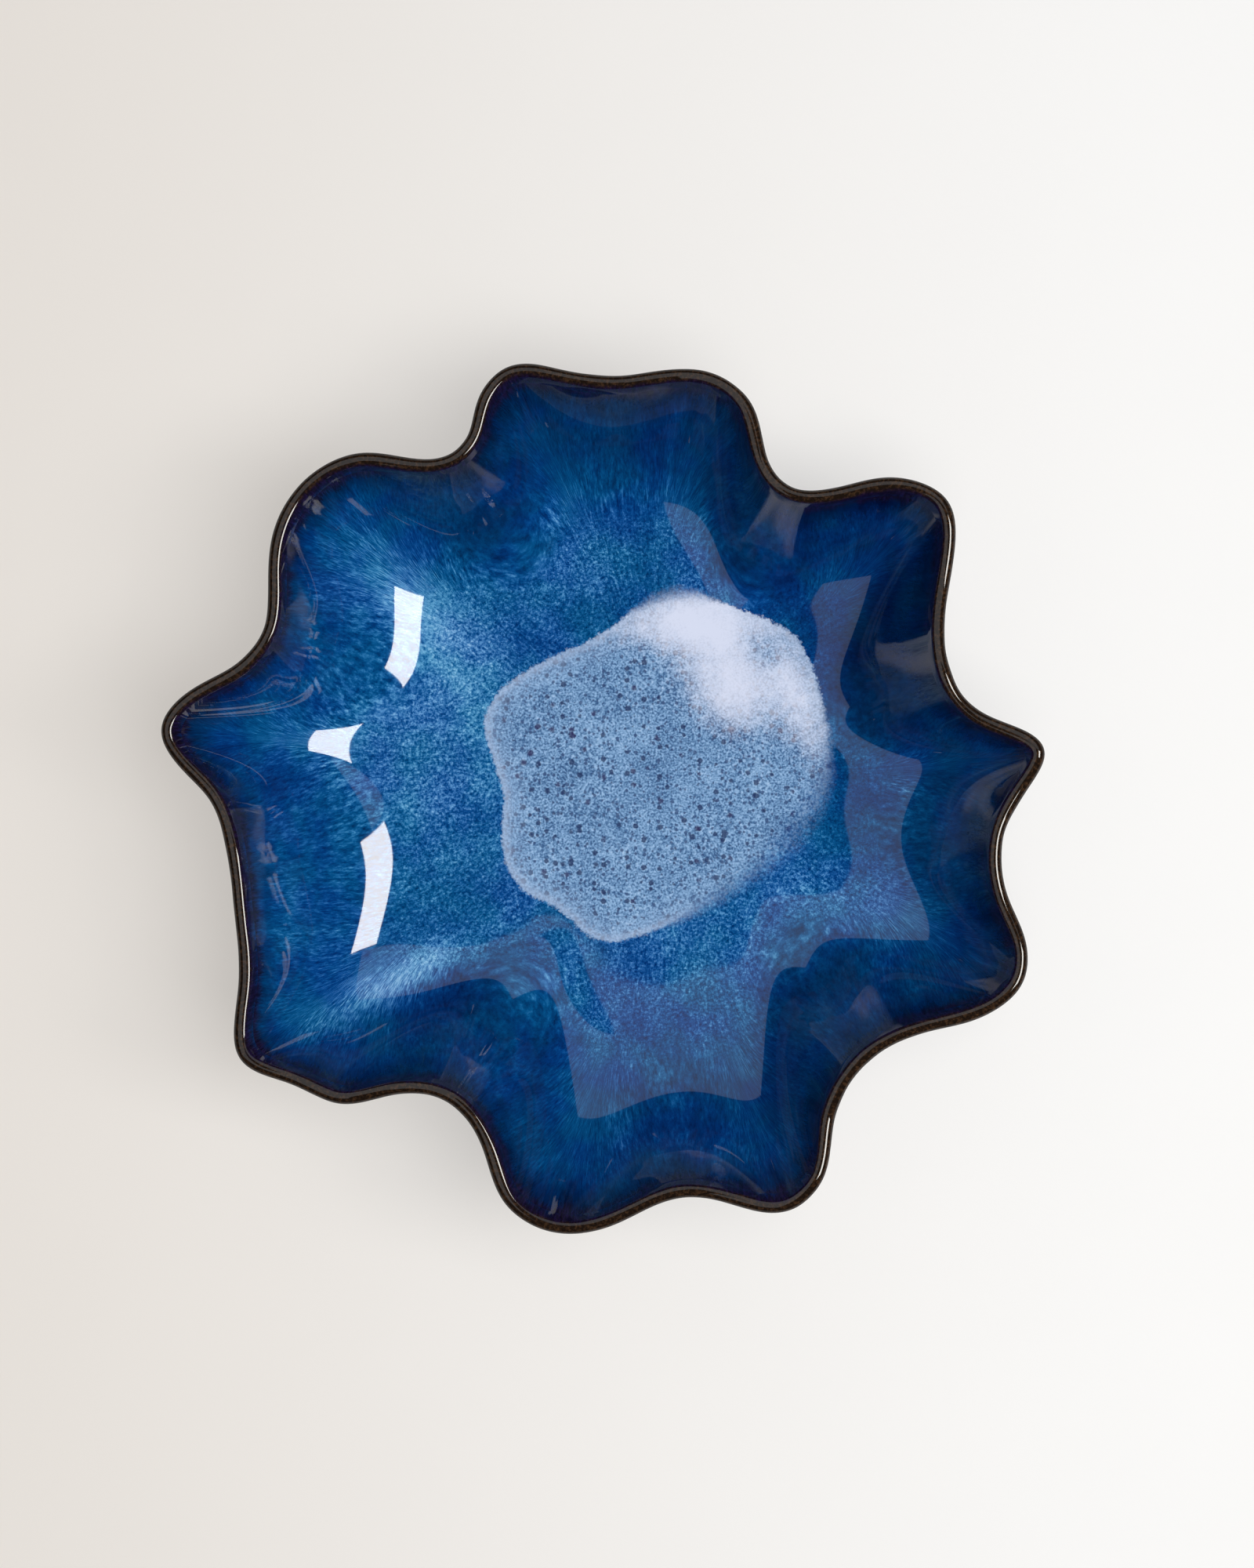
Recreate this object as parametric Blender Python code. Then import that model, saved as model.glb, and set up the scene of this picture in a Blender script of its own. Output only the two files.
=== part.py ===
"""A free-form ruffled stoneware bowl: a thrown clay body whose wall is pushed in and pulled out into
nine uneven lobes, with a luted foot ring and four fused layers of glaze, each a solid of its own.

Every layer follows one mid surface of the clay wall. It is described in polar form about the well,
which is the wheel's axis: an angle round the bowl, and a share of the way from the well's centre (0)
to the lip (1). Lengths are millimetres until a mesh is made, and the finished meshes are metres.
"""

import bmesh
import bpy
import numpy as np

MILLIMETRE = 0.001
FULL_TURN = 2.0 * np.pi

# Middle line of the lip, as angle (degrees) and radius (mm) about the well's centre.
RIM_POINTS = (
    (2, 136.2), (8, 117.6),                                        # right-hand point
    (17, 107.5), (27, 112.0),                                      # fold
    (36, 127.5), (43.5, 139.2), (51, 131.8),                       # upper right lobe
    (58, 116.1), (66, 109.2), (72, 115.7),                         # fold
    (77.5, 134.5), (83, 141.5), (97, 140.5), (105.5, 147.5), (111.5, 153.1), (116.5, 147.0),  # top lobe
    (119.5, 139.0), (124, 134.9), (130.5, 143.8),                  # fold
    (135, 156.8), (143.5, 164.8), (152, 159.8),                    # upper left lobe
    (161, 151.3), (167.5, 158.5),                                  # shallow fold
    (172, 173.9), (176, 180.6), (179.5, 174.6),                    # left-hand point
    (183.5, 164.2), (190.5, 159.3), (200, 163.2), (207.5, 171.5),  # long shallow fold
    (215, 184.6), (220.5, 175.5), (226, 167.4), (229.5, 154.5),    # lower left lobe
    (237.5, 142.8), (246, 153.8),                                  # fold
    (250.5, 167.0), (257, 171.8), (264.5, 164.0), (272, 155.0), (279, 159.2), (285.5, 165.6),  # bottom lobe
    (290.5, 159.2), (294.5, 142.7), (306, 128.0), (315, 134.0),    # fold
    (323, 146.6), (328.5, 150.4), (333, 145.8),                    # lower right lobe
    (338, 133.4), (348, 124.1), (356.5, 130.2),                    # fold
)

# Edge of the pale glaze that ran together in the well, in the same form.
POOL_POINTS = (
    (5, 63.0), (26, 65.0), (44, 69.0), (68, 65.0), (86, 66.0), (100, 59.5), (117, 54.5), (149, 64.5),
    (163, 69.0), (189, 61.0), (208, 67.5), (222, 70.0), (237, 66.5), (246, 69.3), (270, 60.5),
    (290, 54.5), (318, 54.0), (345, 60.0),
)

WELL_CENTRE = (22.0, 12.0)  # from the middle of the rim's box

# The floor is a shallow, open dish. The wall turns up from it all round: folds stand high and start
# early, lobes lie low and start further out. A power of the way from the start to the lip gives the rise.
FOLD_RISE = 47.0
LOBE_RISE = 31.5
FOLD_START = 0.45
LOBE_START = 0.60
FOLD_POWER = 1.95
LOBE_POWER = 3.0
TURN_UP = 0.06     # the share over which the floor rounds into the wall
FOLD_DEPTH = 16.0  # how far the deepest fold lies inside the smooth rim
LOBE_REACH = 14.0  # how far the longest lobe stands outside it
FLOOR_DISH = 13.0  # the floor's own hollow, at DISH_RADIUS
DISH_RADIUS = 150.0

# How the ruffle fades from the lip towards the well.
HARMONICS = 90        # ripples round the bowl that the rim's outline is made of
SMOOTH_HARMONICS = 3  # the first of them, which make the smooth rim
LOBE_HARMONICS = 9.0  # where the finer ones stop counting as lobes and folds
FADE_FROM = 4         # ripples finer than this die out towards the well
FADE_RATE = 0.3

CLAY_AT_FLOOR = 6.0
CLAY_AT_LIP = 3.0
GLAZE = 0.9
GAP = 0.3        # clearance between touching layers
POOL_EDGE = 0.2  # the pale and the blue glaze each stop this far short of the pool's edge

FOOT_HEIGHT = 7.0
FOOT_OUTER = 58.0
FOOT_INNER = 47.0
FOOT_TAPER = 2.0    # each side leans in by this much on its way down
FOOT_CHAMFER = 1.0
FOOT_SEGMENTS = 60

BASE_RADIUS = 62.0  # the turned, flat underside
BASE_BLEND = 20.0   # the width over which it turns up into the ruffled wall
GLAZE_LINE = 66.0   # the outside glaze stops here, above the foot

LIP_BAND = 0.985      # the share where the body's glazes end below the lip
LIP_GLAZE = 0.988     # the share where the lip's own glaze begins
LIP_ARC_STEPS = 4

COLUMNS = 96        # grid lines from the well to the lip
WALL_ROWS = 8       # grid rings between the pool's edge and the lip band
ROW_CROWDING = 1.35  # above 1, the rings crowd towards the lip
POOL_ROWS = (0.55, 1.0)
BEND_CROWDING = 14.0  # mm: columns crowd where the lip's radius of bend is below this

# Fineness of the curves that the grid is read from.
RIM_STEPS = 7200
POOL_STEPS = 1800
RIPPLE_STEPS = 1440
SOLVING_ROUNDS = 20
SMALL_STEP = 1e-3       # radians round the bowl, and share of the way up, for the wall's directions
SMALLEST_SHARE = 1e-4
SHARPEST_SMOOTH = 40.0  # degrees: edges that turn further than this are shaded sharp

COLOURS = {
    "stoneware_body": ((0.42, 0.29, 0.18), 0.80),
    "foot_ring": ((0.45, 0.31, 0.20), 0.85),
    "interior_glaze": ((0.01, 0.10, 0.32), 0.08),
    "exterior_glaze": ((0.02, 0.06, 0.18), 0.12),
    "well_glaze": ((0.27, 0.40, 0.60), 0.08),
    "rim_glaze": ((0.05, 0.02, 0.01), 0.10),
}


def clear_scene():
    for item in list(bpy.data.objects):
        bpy.data.objects.remove(item, do_unlink=True)


def to_xy(polar_points):
    """Points given as degrees and millimetres, as x and y about the well's centre."""
    angle, radius = np.array(polar_points, dtype=float).T
    angle = np.radians(angle)
    return np.stack([radius * np.cos(angle), radius * np.sin(angle)], axis=1)


def closed_spline(points, count):
    """A smooth closed curve through the points (a cubic spline over the chord lengths)."""
    size = len(points)
    following = np.roll(points, -1, axis=0)
    chord = np.linalg.norm(following - points, axis=1)
    index = np.arange(size)
    system = np.zeros((size, size))
    system[index, index - 1] = np.roll(chord, 1)
    system[index, index] = 2.0 * (np.roll(chord, 1) + chord)
    system[index, (index + 1) % size] = chord
    slope = (following - points) / chord[:, None]
    bend = np.linalg.solve(system, 6.0 * (slope - np.roll(slope, 1, axis=0)))
    start = np.concatenate([[0.0], np.cumsum(chord)])
    along = np.linspace(0.0, start[-1], count, endpoint=False)
    span = np.clip(np.searchsorted(start, along, side="right") - 1, 0, size - 1)
    after = (span + 1) % size
    share = ((along - start[span]) / chord[span])[:, None]
    rest = 1.0 - share
    curve = rest * points[span] + share * points[after]
    lift = (rest**3 - rest) * bend[span] + (share**3 - share) * bend[after]
    return curve + lift * (chord[span] ** 2)[:, None] / 6.0


def radius_at(curve, angle):
    """The radius of a closed curve about the well's centre, at each angle."""
    curve_angle = np.unwrap(np.arctan2(curve[:, 1], curve[:, 0]))
    radius = np.hypot(curve[:, 0], curve[:, 1])
    return np.interp(angle, curve_angle, radius, period=FULL_TURN)


RIM_CURVE = closed_spline(to_xy(RIM_POINTS), RIM_STEPS)
POOL_CURVE = closed_spline(to_xy(POOL_POINTS), POOL_STEPS)


def rim_ripples():
    """The rim's radius as a sum of ripples: the size and phase of each, from none to HARMONICS."""
    angle = np.arange(RIPPLE_STEPS) * FULL_TURN / RIPPLE_STEPS
    ripples = np.fft.rfft(radius_at(RIM_CURVE, angle)) / RIPPLE_STEPS
    ripples[1:] *= 2.0
    return ripples[:HARMONICS]


RIPPLES = rim_ripples()
ORDER = np.arange(HARMONICS)


def add_ripples(angle, strength):
    """The sum of the rim's ripples at each angle, each ripple weakened by its strength."""
    turns = np.exp(1j * angle[..., None] * ORDER)
    return np.real(np.sum(turns * RIPPLES * strength, axis=-1))


def lobe_share(angle):
    """0 at the deepest fold and 1 at the longest lobe, with the outline's fine detail left out."""
    smooth = ORDER < SMOOTH_HARMONICS
    strength = np.exp(-((ORDER / LOBE_HARMONICS) ** 2)) - smooth
    reach = add_ripples(angle, strength)
    return (reach + FOLD_DEPTH) / (FOLD_DEPTH + LOBE_REACH)


def ruffled_rim(angle, share):
    """The rim's radius with as much of its ruffle as is left at a share of the way up to it."""
    fading = np.maximum(0, ORDER - FADE_FROM) * FADE_RATE
    return add_ripples(angle, np.maximum(share, SMALLEST_SHARE)[..., None] ** fading)


def share_at(radius, angle):
    """The share of the way to the lip at which the wall has this radius."""
    share = radius / ruffled_rim(angle, np.ones_like(angle))
    for _ in range(SOLVING_ROUNDS):
        share = radius / ruffled_rim(angle, share)
    return share


def rounded_start(past):
    """Nought before the wall's start and the distance past it after, with a rounded turn between."""
    return (past + np.sqrt(past * past + TURN_UP * TURN_UP)) / 2.0


def middle_of_wall(angle, share):
    """Points on the mid surface of the clay."""
    radius = share * ruffled_rim(angle, share)
    lobe = lobe_share(angle)
    rise = FOLD_RISE + (LOBE_RISE - FOLD_RISE) * lobe
    start = FOLD_START + (LOBE_START - FOLD_START) * lobe
    power = FOLD_POWER + (LOBE_POWER - FOLD_POWER) * lobe
    at_centre = rounded_start(-start)
    climb = (rounded_start(share - start) - at_centre) / (rounded_start(1.0 - start) - at_centre)
    floor = FOOT_HEIGHT + GAP + CLAY_AT_FLOOR / 2.0
    height = floor + rise * np.maximum(climb, 0.0) ** power + FLOOR_DISH * (radius / DISH_RADIUS) ** 2
    x = WELL_CENTRE[0] + radius * np.cos(angle)
    y = WELL_CENTRE[1] + radius * np.sin(angle)
    return np.stack([x, y, height], axis=-1)


def unit(vectors):
    return vectors / np.linalg.norm(vectors, axis=-1, keepdims=True)


def directions(face, angle, share):
    """Two unit directions at points of a face: up along the wall, and square to it, into the bowl."""
    up = face(angle, share + SMALL_STEP) - face(angle, share - SMALL_STEP)
    round_bowl = face(angle + SMALL_STEP, share) - face(angle - SMALL_STEP, share)
    return unit(up), unit(np.cross(up, round_bowl))


def pushed(face, angle, share, distance):
    """Points of a face moved square to it, by a distance into the bowl."""
    _, inward = directions(face, angle, share)
    return face(angle, share) + inward * np.asarray(distance)[..., None]


def clay_thickness(share):
    return CLAY_AT_FLOOR + (CLAY_AT_LIP - CLAY_AT_FLOOR) * share


def clay_inside(angle, share):
    return pushed(middle_of_wall, angle, share, clay_thickness(share) / 2.0)


def clay_outside(angle, share):
    """The outer face of the clay, turned flat where the foot ring is luted on."""
    points = pushed(middle_of_wall, angle, share, -clay_thickness(share) / 2.0)
    from_axis = np.hypot(points[..., 0] - WELL_CENTRE[0], points[..., 1] - WELL_CENTRE[1])
    blend = np.clip((from_axis - BASE_RADIUS) / BASE_BLEND, 0.0, 1.0)
    blend = blend * blend * (3.0 - 2.0 * blend)
    flat = FOOT_HEIGHT + GAP
    points[..., 2] = flat + (points[..., 2] - flat) * blend
    return points


def column_angles():
    """Angles of the grid lines, closest together where the lip bends most tightly."""
    step = np.roll(RIM_CURVE, -1, axis=0) - RIM_CURVE
    heading = np.unwrap(np.arctan2(step[:, 1], step[:, 0]))
    turn = np.abs(np.diff(heading, append=heading[0] + FULL_TURN))
    weight = np.linalg.norm(step, axis=1) + BEND_CROWDING * turn
    travelled = np.concatenate([[0.0], np.cumsum(weight)])
    wanted = np.linspace(0.0, travelled[-1], COLUMNS, endpoint=False)
    place = np.interp(wanted, travelled, np.arange(len(travelled)))
    angle = np.unwrap(np.arctan2(RIM_CURVE[:, 1], RIM_CURVE[:, 0]))
    angle = np.append(angle, angle[0] + FULL_TURN)
    return np.interp(place, np.arange(len(angle)), angle)


ANGLES = column_angles()


def pool_share(clearance):
    """The share, at each column, of the pool's edge moved outwards by a clearance."""
    return share_at(radius_at(POOL_CURVE, ANGLES) + clearance, ANGLES)


def wall_shares(start):
    """One row of shares for each ring, from a starting share at each column up to the lip band."""
    left = (1.0 - np.linspace(0.0, 1.0, WALL_ROWS + 1)) ** ROW_CROWDING
    return [LIP_BAND - (LIP_BAND - start) * rest for rest in left]


def circle_share(radius):
    """The share, at each column, of a circle round the well's centre."""
    return share_at(np.full(COLUMNS, radius), ANGLES)


def lip_arc(radius):
    """Rings round the top of the lip, from its inner side over to its outer side."""
    top = np.ones(COLUMNS)
    centre = middle_of_wall(ANGLES, top)
    up, inward = directions(middle_of_wall, ANGLES, top)
    bends = np.linspace(0.0, np.pi, LIP_ARC_STEPS + 1)
    return [centre + radius * (inward * np.cos(bend) + up * np.sin(bend)) for bend in bends]


def add_ring(mesh, points):
    return [mesh.verts.new(point * MILLIMETRE) for point in points]


def join_rings(mesh, lower, upper):
    """Two triangles for each column, always split the same way, so that the layers stay parallel."""
    for here in range(len(lower)):
        beside = (here + 1) % len(lower)
        mesh.faces.new((lower[here], lower[beside], upper[beside]))
        mesh.faces.new((lower[here], upper[beside], upper[here]))


def close_with_fan(mesh, centre, ring):
    tip = mesh.verts.new(centre * MILLIMETRE)
    for here in range(len(ring)):
        mesh.faces.new((tip, ring[here], ring[(here + 1) % len(ring)]))


def finish(mesh, name):
    """Makes the object from its mesh, with faces out, smooth shading and its own material."""
    bmesh.ops.recalc_face_normals(mesh, faces=mesh.faces[:])
    data = bpy.data.meshes.new(name)
    mesh.to_mesh(data)
    mesh.free()
    data.shade_smooth()
    data.set_sharp_from_angle(angle=np.radians(SHARPEST_SMOOTH))
    data.materials.append(make_material(name))
    item = bpy.data.objects.new(name, data)
    bpy.context.scene.collection.objects.link(item)
    return item


def make_material(name):
    colour, roughness = COLOURS[name]
    material = bpy.data.materials.new(name)
    material.use_nodes = True
    shader = material.node_tree.nodes["Principled BSDF"]
    shader.inputs["Base Color"].default_value = (*colour, 1.0)
    shader.inputs["Roughness"].default_value = roughness
    shader.inputs["Metallic"].default_value = 0.0
    return material


def skin(name, near, far):
    """A closed layer between two lists of rings, which run the same way up the wall."""
    mesh = bmesh.new()
    near = [add_ring(mesh, ring) for ring in near]
    far = [add_ring(mesh, ring) for ring in far]
    for rings in (near, far):
        for lower, upper in zip(rings, rings[1:]):
            join_rings(mesh, lower, upper)
    join_rings(mesh, near[0], far[0])
    join_rings(mesh, near[-1], far[-1])
    return finish(mesh, name)


def make_stoneware_body():
    inner_shares = [pool_share(0.0) * POOL_ROWS[0]] + wall_shares(pool_share(0.0))
    outer_shares = [circle_share(BASE_RADIUS)] + wall_shares(circle_share(GLAZE_LINE))
    mesh = bmesh.new()
    inside = [add_ring(mesh, clay_inside(ANGLES, share)) for share in inner_shares]
    lip = [add_ring(mesh, ring) for ring in lip_arc(CLAY_AT_LIP / 2.0)]
    outside = [add_ring(mesh, clay_outside(ANGLES, share)) for share in outer_shares]
    for lower, upper in zip(inside, inside[1:] + lip[:1]):
        join_rings(mesh, lower, upper)
    for lower, upper in zip(lip, lip[1:]):
        join_rings(mesh, lower, upper)
    for lower, upper in zip(outside, outside[1:] + lip[-1:]):
        join_rings(mesh, lower, upper)
    floor = FOOT_HEIGHT + GAP
    close_with_fan(mesh, np.array([*WELL_CENTRE, floor + CLAY_AT_FLOOR]), inside[0])
    close_with_fan(mesh, np.array([*WELL_CENTRE, floor]), outside[0])
    return finish(mesh, "stoneware_body")


def make_interior_glaze():
    shares = wall_shares(pool_share(POOL_EDGE))
    near = [pushed(clay_inside, ANGLES, share, GAP) for share in shares]
    far = [pushed(clay_inside, ANGLES, share, GAP + GLAZE) for share in shares]
    return skin("interior_glaze", near, far)


def make_exterior_glaze():
    shares = wall_shares(circle_share(GLAZE_LINE))
    near = [pushed(clay_outside, ANGLES, share, -GAP) for share in shares]
    far = [pushed(clay_outside, ANGLES, share, -GAP - GLAZE) for share in shares]
    return skin("exterior_glaze", near, far)


def make_well_glaze():
    """A lens of pale glaze on the floor, from the centre out to the pool's edge."""
    mesh = bmesh.new()
    layers = []
    for distance in (GAP, GAP + GLAZE):
        shares = [pool_share(-POOL_EDGE) * row for row in POOL_ROWS]
        rings = [add_ring(mesh, pushed(clay_inside, ANGLES, share, distance)) for share in shares]
        join_rings(mesh, rings[0], rings[1])
        height = FOOT_HEIGHT + GAP + CLAY_AT_FLOOR + distance
        close_with_fan(mesh, np.array([*WELL_CENTRE, height]), rings[0])
        layers.append(rings[-1])
    join_rings(mesh, layers[0], layers[1])
    return finish(mesh, "well_glaze")


def make_rim_glaze():
    """A brown bead that wraps over the lip and a little way down both sides of it."""
    start = np.full(COLUMNS, LIP_GLAZE)
    layers = []
    for distance in (GAP, GAP + GLAZE):
        inner_end = pushed(clay_inside, ANGLES, start, distance)
        outer_end = pushed(clay_outside, ANGLES, start, -distance)
        layers.append([inner_end] + lip_arc(CLAY_AT_LIP / 2.0 + distance) + [outer_end])
    return skin("rim_glaze", *layers)


def make_foot_ring():
    """A turned ring with leaning sides and a flat face to stand on."""
    inner_foot = FOOT_INNER + FOOT_TAPER
    outer_foot = FOOT_OUTER - FOOT_TAPER
    profile = (
        (FOOT_INNER, FOOT_HEIGHT),
        (inner_foot, FOOT_CHAMFER),
        (inner_foot + FOOT_CHAMFER, 0.0),
        (outer_foot - FOOT_CHAMFER, 0.0),
        (outer_foot, FOOT_CHAMFER),
        (FOOT_OUTER, FOOT_HEIGHT),
    )
    turn = np.arange(FOOT_SEGMENTS) * FULL_TURN / FOOT_SEGMENTS
    mesh = bmesh.new()
    rings = []
    for radius, height in profile:
        x = WELL_CENTRE[0] + radius * np.cos(turn)
        y = WELL_CENTRE[1] + radius * np.sin(turn)
        rings.append(add_ring(mesh, np.stack([x, y, np.full(FOOT_SEGMENTS, height)], axis=1)))
    for lower, upper in zip(rings, rings[1:] + rings[:1]):
        join_rings(mesh, lower, upper)
    return finish(mesh, "foot_ring")


clear_scene()
make_stoneware_body()
make_foot_ring()
make_interior_glaze()
make_exterior_glaze()
make_well_glaze()
make_rim_glaze()
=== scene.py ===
"""A ruffled stoneware bowl under blue reactive glaze, seen from straight above on a pale table.

The clay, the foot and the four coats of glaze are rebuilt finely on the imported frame. Every layer
follows one mid surface of the clay wall, in polar form about the well: an angle round the bowl, and a
share of the way from the well's centre (0) to the lip (1). Lengths are millimetres until a mesh is made.
"""

import bpy
import numpy as np
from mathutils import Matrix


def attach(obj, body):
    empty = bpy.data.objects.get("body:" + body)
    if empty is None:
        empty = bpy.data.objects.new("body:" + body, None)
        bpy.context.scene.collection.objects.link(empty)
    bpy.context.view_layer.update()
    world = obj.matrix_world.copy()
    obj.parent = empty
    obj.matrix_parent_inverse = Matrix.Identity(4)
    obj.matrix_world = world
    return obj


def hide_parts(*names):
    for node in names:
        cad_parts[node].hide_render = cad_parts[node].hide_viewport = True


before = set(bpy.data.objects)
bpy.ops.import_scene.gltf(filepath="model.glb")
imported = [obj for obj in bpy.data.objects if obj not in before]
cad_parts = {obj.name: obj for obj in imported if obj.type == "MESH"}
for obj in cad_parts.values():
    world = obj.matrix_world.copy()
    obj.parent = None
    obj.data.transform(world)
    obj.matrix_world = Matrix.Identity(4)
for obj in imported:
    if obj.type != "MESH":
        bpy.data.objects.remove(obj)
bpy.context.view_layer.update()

MILLIMETRE = 0.001
FULL_TURN = 2.0 * np.pi

# --------------------------------------------------------------------------- the bowl's form

# Middle line of the lip, as angle (degrees) and radius about the well's centre.
RIM_POINTS = (
    (2, 136.2), (8, 117.6),                                        # right-hand point
    (17, 107.5), (27, 112.0),                                      # fold
    (36, 127.5), (43.5, 139.2), (51, 131.8),                       # upper right lobe
    (58, 116.1), (66, 109.2), (72, 115.7),                         # fold
    (77.5, 134.5), (83, 141.5), (97, 140.5), (105.5, 147.5), (111.5, 153.1), (116.5, 147.0),  # top lobe
    (119.5, 139.0), (124, 134.9), (130.5, 143.8),                  # fold
    (135, 156.8), (143.5, 164.8), (152, 159.8),                    # upper left lobe
    (161, 151.3), (167.5, 158.5),                                  # shallow fold
    (172, 173.9), (176, 180.6), (179.5, 174.6),                    # left-hand point
    (183.5, 164.2), (190.5, 159.3), (200, 163.2), (207.5, 171.5),  # long shallow fold
    (215, 184.6), (220.5, 175.5), (226, 167.4), (229.5, 154.5),    # lower left lobe
    (237.5, 142.8), (246, 153.8),                                  # fold
    (250.5, 167.0), (257, 171.8), (264.5, 164.0), (272, 155.0), (279, 159.2), (285.5, 165.6),  # bottom lobe
    (290.5, 159.2), (294.5, 142.7), (306, 128.0), (315, 134.0),    # fold
    (323, 146.6), (328.5, 150.4), (333, 145.8),                    # lower right lobe
    (338, 133.4), (348, 124.1), (356.5, 130.2),                    # fold
)

# Edge of the pale glaze that ran together in the well, in the same form.
POOL_POINTS = (
    (5, 63.0), (26, 65.0), (44, 69.0), (68, 65.0), (86, 66.0), (100, 59.5), (117, 54.5), (149, 64.5),
    (163, 69.0), (189, 61.0), (208, 67.5), (222, 70.0), (237, 66.5), (246, 69.3), (270, 60.5),
    (290, 54.5), (318, 54.0), (345, 60.0),
)

WELL_CENTRE = (22.0, 12.0)
FOLD_RISE = 47.0        # climb of the wall to the lip in the deepest fold
LOBE_RISE = 31.5        # and in the lobe that reaches out farthest
FOLD_START = 0.45       # share of the way to the lip where the wall turns up from the floor
LOBE_START = 0.60
FOLD_POWER = 1.95       # how late the wall does its climbing
LOBE_POWER = 3.0
TURN_UP = 0.06          # half width of the rounded turn, as a share
FOLD_DEPTH = 16.0       # how far the folds and lobes reach from the rim's smooth outline
LOBE_REACH = 14.0
FLOOR_DISH = 13.0       # the shallow dish's rise at DISH_RADIUS
DISH_RADIUS = 150.0
HARMONICS = 90          # ripples kept of the rim's outline
SMOOTH_HARMONICS = 3    # ripples of its smooth outline
LOBE_HARMONICS = 9.0    # ripples that count as folds and lobes
FADE_FROM = 4           # finer ripples than this die out towards the well
FADE_RATE = 0.3
CLAY_AT_FLOOR = 6.0
CLAY_AT_LIP = 3.0
GLAZE = 0.9
GAP = 0.3
BEAD_RADIUS = CLAY_AT_LIP / 2.0 + GAP + GLAZE
FOOT_HEIGHT = 7.0
FOOT_OUTER = 58.0
FOOT_INNER = 47.0
FOOT_TAPER = 2.0
FOOT_EDGE = 1.0
BASE_RADIUS = 62.0      # the underside is flat to here, and joins the wall over BASE_BLEND
BASE_BLEND = 20.0
GLAZE_LINE = 66.0
LIP_GLAZE = 0.988       # share of the way at which the lip's bead begins

RIM_STEPS = 7200
POOL_STEPS = 1800
RIPPLE_STEPS = 1440
SOLVING_ROUNDS = 20
SMALL_STEP = 1e-3
SMALLEST_SHARE = 1e-4

# --------------------------------------------------------------------------- how fine the pieces are

COLUMNS = 960         # grid lines from the well to the lip
BEND_CROWDING = 10.0  # columns crowd where the lip's radius of bend is below this
POOL_ROWS = 44
WALL_ROWS = 84
OUTSIDE_ROWS = 84
HIDDEN_EVERY = 6      # a coat's hidden face has one row for so many on its seen face
LIP_STEPS = 16
ROW_CROWDING = 1.35
CLAY_OUTSIDE_ROWS = 18
CLAY_INSIDE_ROWS = 22
CLAY_INSIDE_FROM = 4.0
FOOT_WALL_ROWS = 22
FOOT_EDGE_ROWS = 7
FOOT_UNDER_ROWS = 8
FOOT_SEGMENTS = 480
SHARPEST_SMOOTH = 40.0

# Gentle unevenness of the fired glaze.
WAVES = 26
WAVE_LENGTHS = (24.0, 90.0)
WAVE_HEIGHT = 0.016
BEAD_WAVER = 0.12   # the lip's bead is this much thicker or thinner from place to place
GLAZE_LINE_WAVER = 1.6
DRIP_ROLL = 0.55    # extra thickness where the outside glaze stopped
DRIP_WIDTH = 2.6
DRIP_CREST = 0.9    # where the roll is thickest, as a share of its width
DRIP_STEPS = (0.08, 0.2, 0.4, 0.7)  # extra rows over the roll, as shares of the first step
THINNEST_GLAZE = 0.02

rng = np.random.default_rng(11)


def to_xy(polar_points):
    angle, radius = np.array(polar_points, dtype=float).T
    angle = np.radians(angle)
    return np.stack([radius * np.cos(angle), radius * np.sin(angle)], axis=1)


def closed_spline(points, count):
    """A smooth closed curve through the points: a cubic spline over the chord lengths."""
    size = len(points)
    following = np.roll(points, -1, axis=0)
    chord = np.linalg.norm(following - points, axis=1)
    index = np.arange(size)
    system = np.zeros((size, size))
    system[index, index - 1] = np.roll(chord, 1)
    system[index, index] = 2.0 * (np.roll(chord, 1) + chord)
    system[index, (index + 1) % size] = chord
    slope = (following - points) / chord[:, None]
    bend = np.linalg.solve(system, 6.0 * (slope - np.roll(slope, 1, axis=0)))
    start = np.concatenate([[0.0], np.cumsum(chord)])
    along = np.linspace(0.0, start[-1], count, endpoint=False)
    span = np.clip(np.searchsorted(start, along, side="right") - 1, 0, size - 1)
    after = (span + 1) % size
    share = ((along - start[span]) / chord[span])[:, None]
    rest = 1.0 - share
    curve = rest * points[span] + share * points[after]
    lift = (rest**3 - rest) * bend[span] + (share**3 - share) * bend[after]
    return curve + lift * (chord[span] ** 2)[:, None] / 6.0


def radius_at(curve, angle):
    curve_angle = np.unwrap(np.arctan2(curve[:, 1], curve[:, 0]))
    radius = np.hypot(curve[:, 0], curve[:, 1])
    return np.interp(angle, curve_angle, radius, period=FULL_TURN)


RIM_CURVE = closed_spline(to_xy(RIM_POINTS), RIM_STEPS)
POOL_CURVE = closed_spline(to_xy(POOL_POINTS), POOL_STEPS)


def rim_ripples():
    angle = np.arange(RIPPLE_STEPS) * FULL_TURN / RIPPLE_STEPS
    ripples = np.fft.rfft(radius_at(RIM_CURVE, angle)) / RIPPLE_STEPS
    ripples[1:] *= 2.0
    return ripples[:HARMONICS]


RIPPLES = rim_ripples()
ORDER = np.arange(HARMONICS)
FADING = np.maximum(0, ORDER - FADE_FROM) * FADE_RATE


def unit(vectors):
    return vectors / np.linalg.norm(vectors, axis=-1, keepdims=True)


def rounded_start(past):
    """Nought before the wall's start and the distance past it after, with a rounded turn between."""
    return (past + np.sqrt(past * past + TURN_UP * TURN_UP)) / 2.0


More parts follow.
